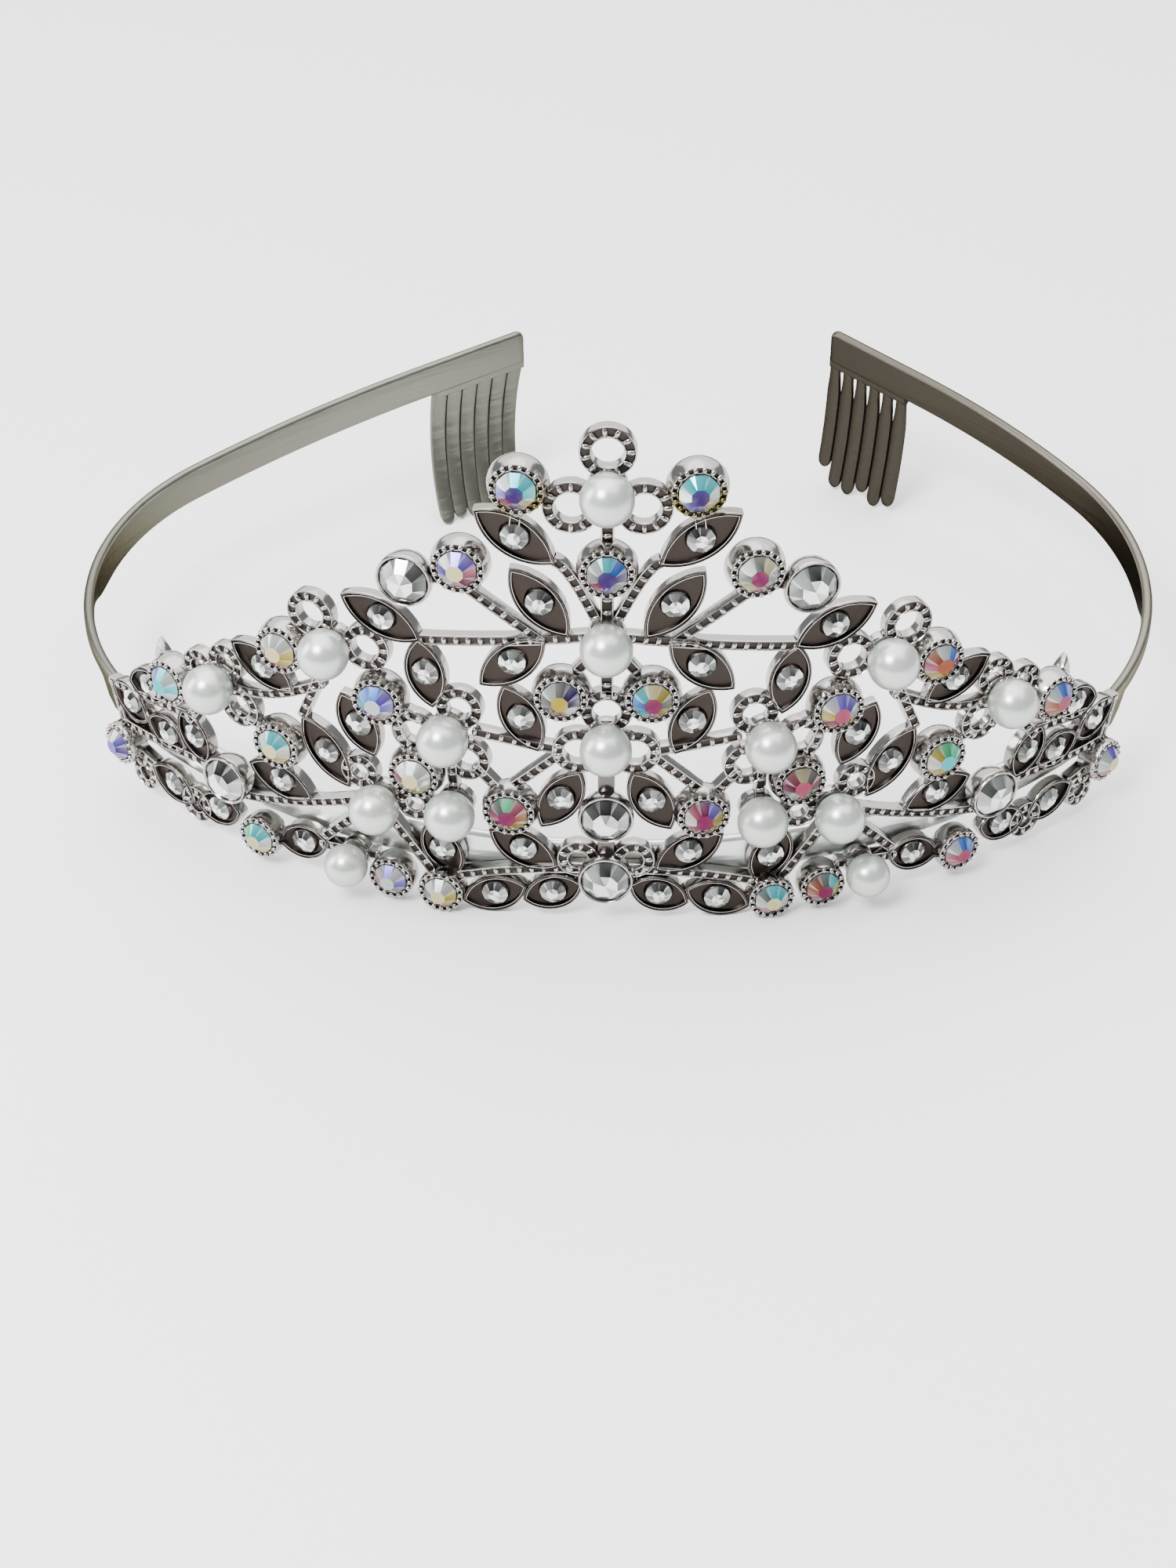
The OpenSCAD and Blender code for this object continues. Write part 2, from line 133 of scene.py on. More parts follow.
# Chart of the panel: s along the band from the middle of the front, z over the panel's foot.
# On the centre line: z, for loops z and radius, and for stems the low end, the high end and the width
CENTRE_PEARLS = [57, 38, 24.5]
CENTRE_IRIS = 47
CENTRE_CLEAR = [13.8, 4.8]
CENTRE_LOOPS = [(61.2, 2.45), (28, 2.3)]
CENTRE_STEMS = [(49.5, 55.5, 1.5), (39.5, 44.5, 1.5), (30, 36.5, 1.5), (16.4, 23, 2), (7.4, 11.4, 2)]
# On both sides: s and z
PEARLS = [(31.5, 33), (47.5, 23), (18, 24), (17.5, 13.5), (26.5, 12.5)]
FOOT_PEARL = (30.4, 3.2)
IRIS = [(9.5, 57), (16, 46.5), (5, 30.5), (11, 14), (26, 27), (22, 17.5), (38, 31), (39.5, 17), (55.5, 20)]
FOOT_IRIS = [(19.3, 1), (25.4, 1.7), (43, 2.2), (66, 6)]
CLEAR = [(22.1, 44), (47.5, 9)]
# Leaves and bare tips: s, z, turn in degrees, length. The first leaves, up to SPRAY, are the centre's
SPRAY = 8
LEAVES = [
    (10, 50.4, 34, 11), (7.4, 42.2, 52, 10.8), (10.5, 34.1, -41, 10.2), (9.6, 26.6, 65, 9.8),
    (5.2, 15.6, -60, 9.6), (9.6, 8, 31, 9.6), (6.2, 1.9, -22, 7.8), (13.1, 0.9, -22, 8.6),
    (25.5, 37.8, 24, 10.6), (20.5, 31.3, 80, 9.4), (29, 22.4, 63, 9.2), (33.4, 17.4, 56, 10.6),
    (40, 11.1, 16, 9.4), (41.3, 27, 28, 9.8), (37.4, 2.8, -16, 7.4), (19.3, 6.5, 60, 7.8),
    (60.4, 16.8, -10, 7.4), (53, 12.6, 61, 7.6), (50, 3, -10, 7.4), (57.6, 3.4, 18, 7.8),
    (57.8, 11, 15, 7), (64.4, 12.6, 22, 7.6),
]
TIPS = [(57.3, 21.3, 66, 6.2)]
# Loops: s, z and radius of the wire's middle
LOOPS = [
    (3.9, 54.4, 2.5), (3.25, 22.4, 2.3), (3.2, 6.9, 1.85), (16.7, 27, 2.1), (16, 20, 2.1),
    (22.2, 22.9, 2.1), (34.3, 36.2, 2.3), (27.6, 33.2, 2.3), (45.2, 20, 2.1), (46.8, 25.6, 1.9),
    (51, 23.3, 1.9), (22.4, 12.6, 1.7), (29.2, 15.6, 1.7), (53.8, 2, 1.8), (63, 2.4, 1.6),
]
# Stems: s and z of the two or three places that each one passes
STEMS = [
    [(1.5, 38), (11.5, 36.8), (21, 35.7)],
    [(7.5, 37.4), (16.4, 44)],
    [(1.3, 40.4), (3.9, 45.6), (5.8, 47.6)],
    [(1.2, 36), (4.4, 32)],
    [(5.8, 22.6), (15, 24)],
    [(5.6, 21.6), (10.8, 16.8)],
    [(15, 19.2), (12.2, 16)],
    [(1.5, 5.5), (9.8, 4.8), (18.5, 2.6)],
    [(21.4, 24.6), (24.6, 26.2)],
    [(24.9, 24.6), (23, 20)],
    [(29, 11.6), (37.2, 8.8), (46.5, 6.6)],
    [(26.4, 11), (20.6, 2.9)],
    [(28.4, 10.6), (34.5, 4.4)],
    [(32, 31.5), (36.4, 21.6)],
    [(33.5, 26.8), (41, 23.2), (46.5, 22.8)],
    [(45.4, 19), (41.2, 17.8)],
    [(16.6, 43.9), (21.4, 44.2)],
    [(35, 32.4), (37, 31.4)],
    [(9.6, 54.6), (10, 51.6)],
    [(18, 22.5), (17.6, 14.5)],
    [(27.6, 3.6), (30.6, 3.2)],
    [(35, 3.2), (30.8, 3.6)],
    [(48.5, 24.5), (54, 20.8)],
    [(48.8, 21.4), (53.8, 14.6)],
    [(54, 15.4), (60.8, 14.8), (68.6, 13.6)],
    [(47.5, 6.8), (53.4, 9.4)],
    [(52, 9.2), (66, 8.6)],
    [(61, 4.6), (66, 5.8)],
    [(66, 7), (68, 13.4)],
]

SIDES = {"left": -1, "right": 1}


def after_arc(x, y, heading, radius, turn):
    """Place and heading after an arc that turns left by an angle in radians."""
    end = heading + turn
    return (
        x + radius * (math.sin(end) - math.sin(heading)),
        y - radius * (math.cos(end) - math.cos(heading)),
        end,
    )


def along(arcs, s):
    """Place and heading at arc length s on the band's outer face, straight on after the last arc."""
    at = (0.0, 0.0, 0.0)
    for radius, degrees in arcs:
        length = radius * math.radians(degrees)
        step = min(s, length)
        at = after_arc(*at, radius, step / radius)
        s -= step
        if s <= 0:
            return at
    x, y, heading = at
    return x + s * math.cos(heading), y + s * math.sin(heading), heading


def arcs_length(arcs):
    """Length of a row of arcs."""
    return sum(radius * math.radians(degrees) for radius, degrees in arcs)


def panel_arcs(arcs):
    """Plan of the panel on one side: its end goes on along the band's second arc."""
    return [arcs[0], (arcs[1][0], PANEL_END_TURN)]


def row_point(x, y, z):
    """Point of the shared frame in metres, from the plan's and the chart's millimetres."""
    return Vector((x, y - SET_BACK, z - FOOT_Z)) * MM


def place(s, z):
    """Matrix of a chart place: x along the band, y up, z out of its face, from millimetres to metres."""
    x, y, heading = along(panel_arcs(LEFT_ARCS if s < 0 else RIGHT_ARCS), abs(s))
    if s < 0:
        x, heading = -x, -heading
    cos, sin = math.cos(heading), math.sin(heading)
    turn = Matrix(((cos, 0, sin, 0), (sin, 0, -cos, 0), (0, 1, 0, 0), (0, 0, 0, 1)))
    return Matrix.Translation(row_point(x, y, z)) @ turn @ Matrix.Scale(MM, 4)


def turned(s, z, degrees):
    """A chart place turned in the face, the other way on the left side."""
    side = -1 if s < 0 else 1
    return place(s, z) @ Matrix.Rotation(side * math.radians(degrees), 4, "Z")


class Shape:
    """Points, faces, material numbers and corner tints gathered for one piece."""

    def __init__(self):
        self.points = []
        self.faces = []
        self.slots = []
        self.tints = []

    def face(self, corners, slot, tints=()):
        self.faces.append(corners)
        self.slots.append(slot)
        self.tints += tints

    def band(self, low, high, slots):
        """Skins two rings that start at points low and high, with a material number for each face."""
        count = len(slots)
        for i, slot in enumerate(slots):
            j = (i + 1) % count
            self.face((low + i, low + j, high + j, high + i), slot)

    def start_cap(self, first, count, slot):
        self.face(tuple(range(first + count - 1, first - 1, -1)), slot)

    def end_cap(self, first, count, slot):
        self.face(tuple(range(first, first + count)), slot)

    def loft(self, rings, slots, spot, caps=True):
        """Skins rings in order, with one material number for each band between them."""
        first = len(self.points)
        count = len(rings[0])
        last = first + (len(rings) - 1) * count
        for ring in rings:
            self.points += [spot @ Vector(point) for point in ring]
        for low, slot in zip(range(first, last, count), slots):
            self.band(low, low + count, [slot] * count)
        if caps:
            self.start_cap(first, count, slots[0])
            self.end_cap(last, count, slots[-1])

    def sweep(self, rings, slots):
        """Skins rings of world points in order, with a material number for each place round a ring.

        Both ends stay open, and it returns where the first and the last ring start.
        """
        first = len(self.points)
        count = len(slots)
        last = first + (len(rings) - 1) * count
        for ring in rings:
            self.points += ring
        for low in range(first, last, count):
            self.band(low, low + count, slots)
        return first, last


def new_object(name, data):
    """Object of the scene for a mesh, a light or a camera."""
    thing = bpy.data.objects.new(name, data)
    bpy.context.scene.collection.objects.link(thing)
    return thing


def clean(mesh, merge=0.0):
    """Joins points nearer than a distance, if one is given, and turns every face outwards."""
    whole = bmesh.new()
    whole.from_mesh(mesh)
    if merge:
        bmesh.ops.remove_doubles(whole, verts=whole.verts, dist=merge)
    bmesh.ops.recalc_face_normals(whole, faces=whole.faces)
    whole.to_mesh(mesh)
    whole.free()


def finish(name, shape, materials, nodes, sharp=35.0):
    """Turns a shape into a piece that rides on the root body and stands for CAD nodes."""
    mesh = bpy.data.meshes.new(name)
    mesh.from_pydata(shape.points, [], shape.faces)
    for material in materials:
        mesh.materials.append(material)
    mesh.polygons.foreach_set("material_index", shape.slots)
    if shape.tints:
        tint = mesh.color_attributes.new("tint", "FLOAT_COLOR", "CORNER")
        tint.data.foreach_set("color", [value for colour in shape.tints for value in colour])
    clean(mesh)
    mesh.shade_smooth()
    mesh.set_sharp_from_angle(angle=math.radians(sharp))
    return declare(new_object(name, mesh), nodes)


def declare(piece, nodes):
    """Says which body a piece rides on and the CAD nodes that it stands for."""
    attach(piece, "root")
    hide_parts(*nodes)
    return piece


def linear(hex_colour):
    """Linear colour of an sRGB hex value."""
    channels = [int(hex_colour[i:i + 2], 16) / 255 for i in (1, 3, 5)]
    return [c / 12.92 if c <= 0.04045 else ((c + 0.055) / 1.055) ** 2.4 for c in channels] + [1.0]


def add(tree, kind, inputs=(), **settings):
    """Adds a node with its settings; an input is a number, a colour or a socket to link."""
    node = tree.nodes.new(kind)
    for key, value in settings.items():
        setattr(node, key, value)
    for key, value in dict(inputs).items():
        if isinstance(value, bpy.types.NodeSocket):
            tree.links.new(value, node.inputs[key])
        else:
            node.inputs[key].default_value = value
    return node


def principled(name, inputs):
    """A material with one Principled shader, and its tree for patterns."""
    material = bpy.data.materials.new(name)
    material.use_nodes = True
    tree = material.node_tree
    shader = tree.nodes["Principled BSDF"]
    for key, value in inputs.items():
        shader.inputs[key].default_value = value
    return material, tree, shader


def place_in_piece(tree):
    """Socket of the coordinates that every pattern is laid out by."""
    return add(tree, "ShaderNodeTexCoord").outputs["Object"]


def noise(tree, spot, size_mm, detail):
    """Socket of a noise with patches of a size in millimetres."""
    inputs = {"Vector": spot, "Scale": 1 / (size_mm * MM), "Detail": detail}
    return add(tree, "ShaderNodeTexNoise", inputs).outputs["Fac"]


def uneven(tree, shader, spot, size_mm, depth_mm):
    """Waves the surface as casting, drawing or polishing leaves it."""
    height = noise(tree, spot, size_mm, 2.0)
    bump = add(tree, "ShaderNodeBump", {"Height": height, "Distance": depth_mm * MM, "Strength": 1.0})
    tree.links.new(bump.outputs["Normal"], shader.inputs["Normal"])


def blend(tree, share, first, second):
    """Socket of the colour between two, each given as a hex value or a socket."""
    low, high = [linear(end) if isinstance(end, str) else end for end in (first, second)]
    mix = add(tree, "ShaderNodeMix", {"Factor": share, "A": low, "B": high}, data_type="RGBA")
    return mix.outputs["Result"]


def stretch(tree, value, start, end, low=0.0, high=1.0):
    """Socket that goes from low to high while a length goes from start to end in millimetres."""
    between = add(tree, "ShaderNodeMapRange", {
        "Value": value, "From Min": start * MM, "From Max": end * MM, "To Min": low, "To Max": high,
    })
    return between.outputs["Result"]


def bright_plate():
    """Bright silver plate on a casting: a white mirror in slight waves, tarnished low on the top cups."""
    material, tree, shader = principled("bright_silver_plate", {"Metallic": 1.0, "Roughness": 0.15})
    spot = place_in_piece(tree)
    axes = add(tree, "ShaderNodeSeparateXYZ", {"Vector": spot}).outputs
    reach = add(tree, "ShaderNodeMath", {0: axes["X"]}, operation="ABSOLUTE").outputs["Value"]
    patches = noise(tree, spot, 4, 1.0)
    worn = add(tree, "ShaderNodeMapRange", {"Value": patches, "From Min": 0.34, "From Max": 0.5})
    share = worn.outputs["Result"]
    for value, ends in ((axes["Z"], TARNISH_FOOT), (axes["Z"], TARNISH_TOP), (reach, TARNISH_SIDES)):
        limit = stretch(tree, value, *ends)
        share = add(tree, "ShaderNodeMath", {0: share, 1: limit}, operation="MULTIPLY").outputs["Value"]
    tree.links.new(blend(tree, share, "#AAA6A3", "#6E6638"), shader.inputs["Base Color"])
    uneven(tree, shader, spot, 1.6, 0.05)
    return material


def shaded_grey_plate():
    """Silver plate on the leaf rims, collars and broad posts, painted darker grey as painted shade beside the
    bright bands.
    """
    inputs = {"Base Color": linear("#625C59"), "Metallic": 1.0, "Roughness": 0.2}
    material, tree, shader = principled("grey_silver_plate_painted_shade", inputs)
    uneven(tree, shader, place_in_piece(tree), 1.6, 0.05)
    return material


def shaded_recess_plate():
    """Silver plate in the leaf floors, rougher than the polished rims and painted darker as painted shade."""
    inputs = {"Base Color": linear("#342E2B"), "Metallic": 1.0, "Roughness": 0.34}
    material, tree, shader = principled("recessed_silver_plate_painted_shade", inputs)
    uneven(tree, shader, place_in_piece(tree), 2.2, 0.08)
    return material


def painted_shade_cells():
    """Near-black painted shade in the cells between the milgrain beads, in grooves and under the stones,
    nearly without reflection.
    """
    inputs = {"Base Color": linear("#332C29"), "Metallic": 0.7, "Roughness": 0.4}
    return principled("painted_shade_black", inputs)[0]


def spring_plate(name, left_shaded_tints, right_shaded_tints, roughness):
    """Plated spring steel, drawn smooth behind the panel and browner along the arms, where its tints are
    partly its own satin tone and partly painted shade.

    The tints of an arm are those at its comb and at its temple, and the roughness is that of the arms. The
    right arm is painted darker than the left, and each arm's tint changes from comb to temple, as painted
    shade.
    """
    material, tree, shader = principled(name, {"Metallic": 1.0})
    spot = place_in_piece(tree)
    axes = add(tree, "ShaderNodeSeparateXYZ", {"Vector": spot}).outputs
    temple = stretch(tree, axes["Y"], *COMB_TO_TEMPLE_SHADE)
    # Painted shade: the right arm's tints are darker than the left's, and each arm's tint changes from comb
    # to temple.
    left = blend(tree, temple, *left_shaded_tints)
    right = blend(tree, temple, *right_shaded_tints)
    arms = blend(tree, stretch(tree, axes["X"], *LEFT_TO_RIGHT_SHADE), left, right)
    tint = blend(tree, stretch(tree, axes["Y"], *PANEL_TO_ARMS), "#DDE2DE", arms)
    tree.links.new(tint, shader.inputs["Base Color"])
    tree.links.new(tint, shader.inputs["Specular Tint"])
    satin = stretch(tree, axes["Y"], *PANEL_TO_ARMS, 0.32, roughness)
    tree.links.new(satin, shader.inputs["Roughness"])
    drawn = add(tree, "ShaderNodeMapping", {"Vector": spot, "Scale": (1.0, 1.0, 9.0)})
    uneven(tree, shader, drawn.outputs["Vector"], 9, 0.1)
    return material


def pearl_coat():
    """Pearl coat on plastic beads: a deep soft gloss, darker at the edge, with a faint change of tint."""
    material, tree, shader = principled("pearl_coat", {
        "Metallic": 0.6, "Roughness": 0.3, "IOR": 1.5, "Specular Tint": linear("#4C574F"),
        "Coat Weight": 0.35, "Coat Roughness": 0.1,
    })
    clouds = noise(tree, place_in_piece(tree), 5, 1.0)
    tree.links.new(blend(tree, clouds, "#BFC8C2", "#CFD0CB"), shader.inputs["Base Color"])
    return material


def cut_glass(name, metallic, gloss):
    """Glass over foil: each facet takes its tint from the mesh, under a hard gloss; the tints hold painted
    reflections and glints.
    """
    material, tree, shader = principled(name, {
        "Metallic": metallic, "Roughness": 0.1, "Specular IOR Level": 0.2,
        "Coat Weight": gloss, "Coat Roughness": 0.03,
    })
    tint = add(tree, "ShaderNodeVertexColor", layer_name="tint")
    tree.links.new(tint.outputs["Color"], shader.inputs["Base Color"])
    return material


# Tones of the coat and foil under a facet, with white, pale, grey and dark used as painted reflections and
# glints
TONES = {
    "violet": "#240249", "magenta": "#5C043A", "rose": "#80324A", "blue": "#0C50A0", "cyan": "#1E9CA6",
    "green": "#1E9060", "yellow": "#8A7A1E", "orange": "#783A20", "lilac": "#4E3E98", "white": "#ECF2EC",
    "cream": "#B2A97C", "pale": "#9FA3A0", "grey": "#504F4D", "dark": "#0E0C0B",
}
BRIGHT = bright_plate()
GREY = shaded_grey_plate()
RECESS = shaded_recess_plate()
SHADE_DARK = painted_shade_cells()
# The arms' tints below are painted shade as well as the steel's own tone: the right arm mostly darker,
# changing from comb to temple.
SATIN = spring_plate("satin_spring_steel", ("#717168", "#4C463A"), ("#3A3630", "#2C2822"), 0.42)
POLISHED = spring_plate("polished_spring_steel", ("#7A7A70", "#75736B"), ("#5A564E", "#8A867C"), 0.36)
PEARL = pearl_coat()
IRIS_GLASS = cut_glass("iris_coated_glass", 0.45, 0.1)
CLEAR_GLASS = cut_glass("foiled_clear_glass", 0.8, 0.8)

# Materials of the casting and of the spring, and the numbers of their faces
# All but the bright plate are darker copies of it: painted shade in floors, grooves, cells and rims.
METAL = [BRIGHT, RECESS, SHADE_DARK, GREY]
SHINY, FLOOR, SHADE_BLACK, SHADE_GREY = range(4)
SPRING = [SATIN, POLISHED]
SATIN_FACE, POLISHED_FACE = range(2)

# Faces round the strip's section, from its inner foot: the inner face and the foot are satin
STRIP_SLOTS = [SATIN_FACE] * 4 + [POLISHED_FACE] * 11 + [SATIN_FACE]
# Section of a leaf from its back over the rim: inset from the outline, height, material of the next band
# The rim's grey and black bands are painted shade beside its bright bands.
LEAF_RIM = [
    (0.3, GAP, SHADE_GREY), (0.02, 0.4, SHINY), (0.0, 1.45, SHINY), (0.05, 1.75, SHADE_GREY), (0.13, 1.86, SHADE_GREY),
    (0.22, 1.8, SHADE_BLACK), (0.26, 1.62, SHADE_BLACK), (0.31, 1.62, SHADE_GREY), (0.36, 1.76, SHINY), (0.43, 1.76, SHADE_GREY),
    (0.52, 1.24, FLOOR),
]
# A leaf's floor and the collar of its stone: radius of a circle, height, how far the outline is drawn in
# to the circle, material of the next band
COLLAR_R = LEAF_STONE_D / 2 + 0.22
# The floor's dark plate, the collar's grey and the black under the stone are painted shade.
LEAF_FLOOR = [
    (COLLAR_R, 1.16, 0.3, FLOOR), (COLLAR_R, 1.14, 0.65, FLOOR), (COLLAR_R, 1.18, 0.94, SHADE_GREY),
    (COLLAR_R - 0.04, 1.46, 1.0, SHADE_GREY), (COLLAR_R - 0.14, 1.6, 1.0, SHINY),
    (COLLAR_R - 0.26, 1.54, 1.0, SHINY), (COLLAR_R - 0.3, 1.3, 1.0, SHINY), (0.3, 0.9, 1.0, SHADE_BLACK),
]
# Section of a bare tip: inset from the outline and share of its thickness
TIP_SECTION = [(0.12, 0.0), (0.0, 0.2), (0.0, 0.75), (0.12, 0.95), (0.35, 1.0), (0.7, 0.97)]


def circle(radius, z, count, start=0.0):
    """Points round a circle at a height."""
    angles = [start + 2 * math.pi * i / count for i in range(count)]
    return [(radius * math.cos(angle), radius * math.sin(angle), z) for angle in angles]


def turn_profile(shape, spot, profile, slots, count=40):
    """Turns a profile of (radius, height) about the place's axis."""
    shape.loft([circle(radius, z, count) for radius, z in profile], slots, spot)


def lens_ring(length, width, inset, z, count=26):
    """Pointed oval, shrunk by an even inset, with count points on each arc."""
    radius = (length * length + width * width) / (4 * width)
    centre = radius - width / 2
    radius -= inset
    half = math.acos(min(1.0, centre / radius))
    ring = []
    for side in (-1, 1):
        for i in range(count):
            angle = side * math.pi / 2 + half * (2 * i / count - 1)
            ring.append((radius * math.cos(angle), radius * math.sin(angle) - side * centre, z))
    return ring


def pulled_in(ring, radius, z, share):
    """Moves a ring's points towards a circle, each on its own line from the middle."""
    moved = []
    for x, y, _ in ring:
        reach = math.hypot(x, y)
        scale = (reach + (radius - reach) * share) / reach
        moved.append((x * scale, y * scale, z))
    return moved


def leaf(shape, spot, length):
    """Leaf with a rounded rim banded with painted shade, a nearly flat floor painted dark as painted shade,
    and a collar for its stone.
    """
    rings = [lens_ring(length, LEAF_W, inset, z) for inset, z, _ in LEAF_RIM]
    outline = rings[-1]
    rings += [pulled_in(outline, radius, z, share) for radius, z, share, _ in LEAF_FLOOR]
    shape.loft(rings, [row[-1] for row in LEAF_RIM + LEAF_FLOOR], spot)


def leaf_tip(shape, spot, length):
    """Plain narrow leaf that thins towards its points."""
    rings = []
    for inset, height in TIP_SECTION:
        ring = []
        for x, y, _ in lens_ring(length, LEAF_W * TIP_W_SHARE, inset, 0.0):
            ring.append((x, y, GAP + TIP_T * height * (1 - (2 * x / length) ** 2 * TIP_THINNING)))
        rings.append(ring)
    shape.loft(rings, [SHINY] * 5, spot)


def beaded_cup(shape, spot, stone_d, ring_d, swell):
    """Cup with a round belly, and a groove round the stone that the beads stand in, painted black as painted
    shade, as is the seat under the stone.
    """
    seat = stone_d / 2 + STONE_GAP
    rim = ring_d / 2
    belly = rim + swell
    profile = [
        (seat, GAP), (belly - 0.25, 0.4), (belly, 1.0), (belly, 1.6), (rim + swell * 0.4, 2.3),
        (rim - 0.03, 2.8), (rim - 0.1, 3.0), (rim - 0.2, 3.04), (rim - 0.24, 2.8), (seat + 0.16, 2.78),
        (seat + 0.12, 3.0), (seat + 0.03, 3.02), (seat, 2.9), (seat, 2.0), (0.4, 1.6),
    ]
    turn_profile(shape, spot, profile, [SHINY] * 7 + [SHADE_BLACK] * 3 + [SHINY] + [SHADE_BLACK] * 3)


def plain_cup(shape, spot):
    """Smooth cup of a clear stone with a thin turned rim, and its seat under the stone painted black as
    painted shade.
    """
    seat = CLEAR_D / 2 + STONE_GAP
    profile = [
        (2.0, GAP), (2.5, 0.2), (2.9, 0.8), (3.2, 1.7), (3.3, 2.5), (3.28, 2.95), (3.18, 3.16),
        (3.04, 3.2), (2.92, 3.1), (seat, 2.9), (seat, 1.6), (0.5, 1.0),
    ]
    turn_profile(shape, spot, profile, [SHINY] * 9 + [SHADE_BLACK] * 2, 48)


def pearl_seat(shape, spot, pearl_d):
    """Dished post under a pearl."""
    wide = pearl_d * PEARL_SEAT_SHARE
    profile = [
        (wide - 0.4, GAP), (wide, 0.35), (wide, 1.3), (wide - 0.12, 1.55), (wide - 0.3, 1.6), (0.3, 1.2),
    ]
    turn_profile(shape, spot, profile, [SHINY] * 5, 32)


def wire_section(width):
    """Half of the section of a loop or stem, from its middle out, without a channel in a broad post. The
    channel's floor is painted black and a broad post grey, as painted shade.

    Its rows are the distance across, the height and the material of the next face.
    """
    half = width / 2
    if width > CHANNEL_MAX_W:
        return [
            (0.0, 1.72, SHADE_GREY), (half - 0.3, 1.72, SHADE_GREY), (half - 0.08, 1.6, SHADE_GREY), (half, 1.4, SHADE_GREY),
            (half - 0.1, GAP, SHADE_GREY),
        ]
    return [
        (0.0, 1.38, SHADE_BLACK), (half - 0.29, 1.38, SHINY), (half - 0.26, 1.62, SHINY),
        (half - 0.17, 1.74, SHINY), (half - 0.06, 1.7, SHINY), (half, 1.5, SHINY), (half, 0.35, SHINY),
        (half - 0.18, GAP, SHINY),
    ]


def wire_ring(width):
    """Whole section of a wire, counterclockwise, and its material numbers."""
    half = wire_section(width)
    ring = [(x, z) for x, z, _ in reversed(half)] + [(-x, z) for x, z, _ in half[1:]]
    slots = [slot for _, _, slot in half[:-1]]
    return ring, slots[::-1] + slots + [SHINY]


def loop(shape, spot, mid_r, count=36):
    """Ring of wire with a channel along its face, painted black as painted shade."""
    ring, slots = wire_ring(LOOP_WIRE)
    rings = []
    for i in range(count):
        angle = 2 * math.pi * i / count
        cos, sin = math.cos(angle), math.sin(angle)
        rings.append([spot @ Vector(((mid_r + x) * cos, (mid_r + x) * sin, z)) for x, z in ring])
    first, last = shape.sweep(rings, slots)
    shape.band(last, first, slots)


def smooth_path(points, step=0.8):
    """Even points along a route through the given places, rounded at the middle ones."""
    if len(points) == 2:
        (s0, z0), (s1, z1) = points
        count = max(2, round(math.hypot(s1 - s0, z1 - z0) / step))
        return [(s0 + (s1 - s0) * i / count, z0 + (z1 - z0) * i / count) for i in range(count + 1)]
    (s0, z0), (s1, z1), (s2, z2) = points
    control = (2 * s1 - (s0 + s2) / 2, 2 * z1 - (z0 + z2) / 2)
    count = max(4, round(math.hypot(s2 - s0, z2 - z0) / step))
    path = []
    for i in range(count + 1):
        t = i / count
        a, b, c = (1 - t) ** 2, 2 * t * (1 - t), t * t
        path.append((a * s0 + b * control[0] + c * s2, a * z0 + b * control[1] + c * z2))
    return path


def stem(shape, path, side, width):
    """Wire that follows a route over the panel's face."""
    ring, slots = wire_ring(width)
    rings = []
    for k, (s, z) in enumerate(path):
        before = path[max(k - 1, 0)]
        after = path[min(k + 1, len(path) - 1)]
        heading = math.atan2(after[1] - before[1], side * (after[0] - before[0]))
        spot = place(side * s, z) @ Matrix.Rotation(heading, 4, "Z")
        rings.append([spot @ Vector((0.0, -x, height)) for x, height in ring])
    first, last = shape.sweep(rings, slots)
    shape.start_cap(first, len(ring), SHINY)
    shape.end_cap(last, len(ring), SHINY)


def bead_tree():
    """Repeats a small bead along every path of a piece, upright on the face that the path lies on."""
    tree = bpy.data.node_groups.new("beads_along_paths", "GeometryNodeTree")
    inputs = {"Paths": "Geometry", "Pitch": "Float", "Bead size": "Vector", "Finish": "Material"}
    for name, kind in inputs.items():
        tree.interface.new_socket(name, in_out="INPUT", socket_type="NodeSocket" + kind)
    tree.interface.new_socket("Beads", in_out="OUTPUT", socket_type="NodeSocketGeometry")
    given = add(tree, "NodeGroupInput").outputs
    curve = add(tree, "GeometryNodeMeshToCurve", {"Mesh": given["Paths"]}).outputs["Curve"]
    even = add(tree, "GeometryNodeResampleCurve", {"Curve": curve, "Length": given["Pitch"]}, mode="LENGTH")
    outward = add(tree, "GeometryNodeInputNamedAttribute", {"Name": "outward"}, data_type="FLOAT_VECTOR")
    tangent = add(tree, "GeometryNodeInputTangent").outputs["Tangent"]
    facing = add(tree, "FunctionNodeAlignRotationToVector", {"Vector": tangent}, axis="X")
    upright = add(
        tree, "FunctionNodeAlignRotationToVector",
        {"Rotation": facing.outputs["Rotation"], "Vector": outward.outputs["Attribute"]},
        axis="Z", pivot_axis="X",
    )
    bead = add(tree, "GeometryNodeMeshUVSphere", {"Segments": 8, "Rings": 5, "Radius": 1.0})
    placed = add(tree, "GeometryNodeInstanceOnPoints", {
        "Points": even.outputs["Curve"], "Instance": bead.outputs["Mesh"],
        "Rotation": upright.outputs["Rotation"], "Scale": given["Bead size"],
    }).outputs["Instances"]
    solid = add(tree, "GeometryNodeRealizeInstances", {"Geometry": placed}).outputs["Geometry"]
    smooth = add(tree, "GeometryNodeSetShadeSmooth", {"Geometry": solid}).outputs["Geometry"]
    plated = add(tree, "GeometryNodeSetMaterial", {"Geometry": smooth, "Material": given["Finish"]})
    add(tree, "NodeGroupOutput", {"Beads": plated.outputs["Geometry"]})
    return tree


BEAD_TREE = bead_tree()
PANEL_NODES = ("openwork_panel",)


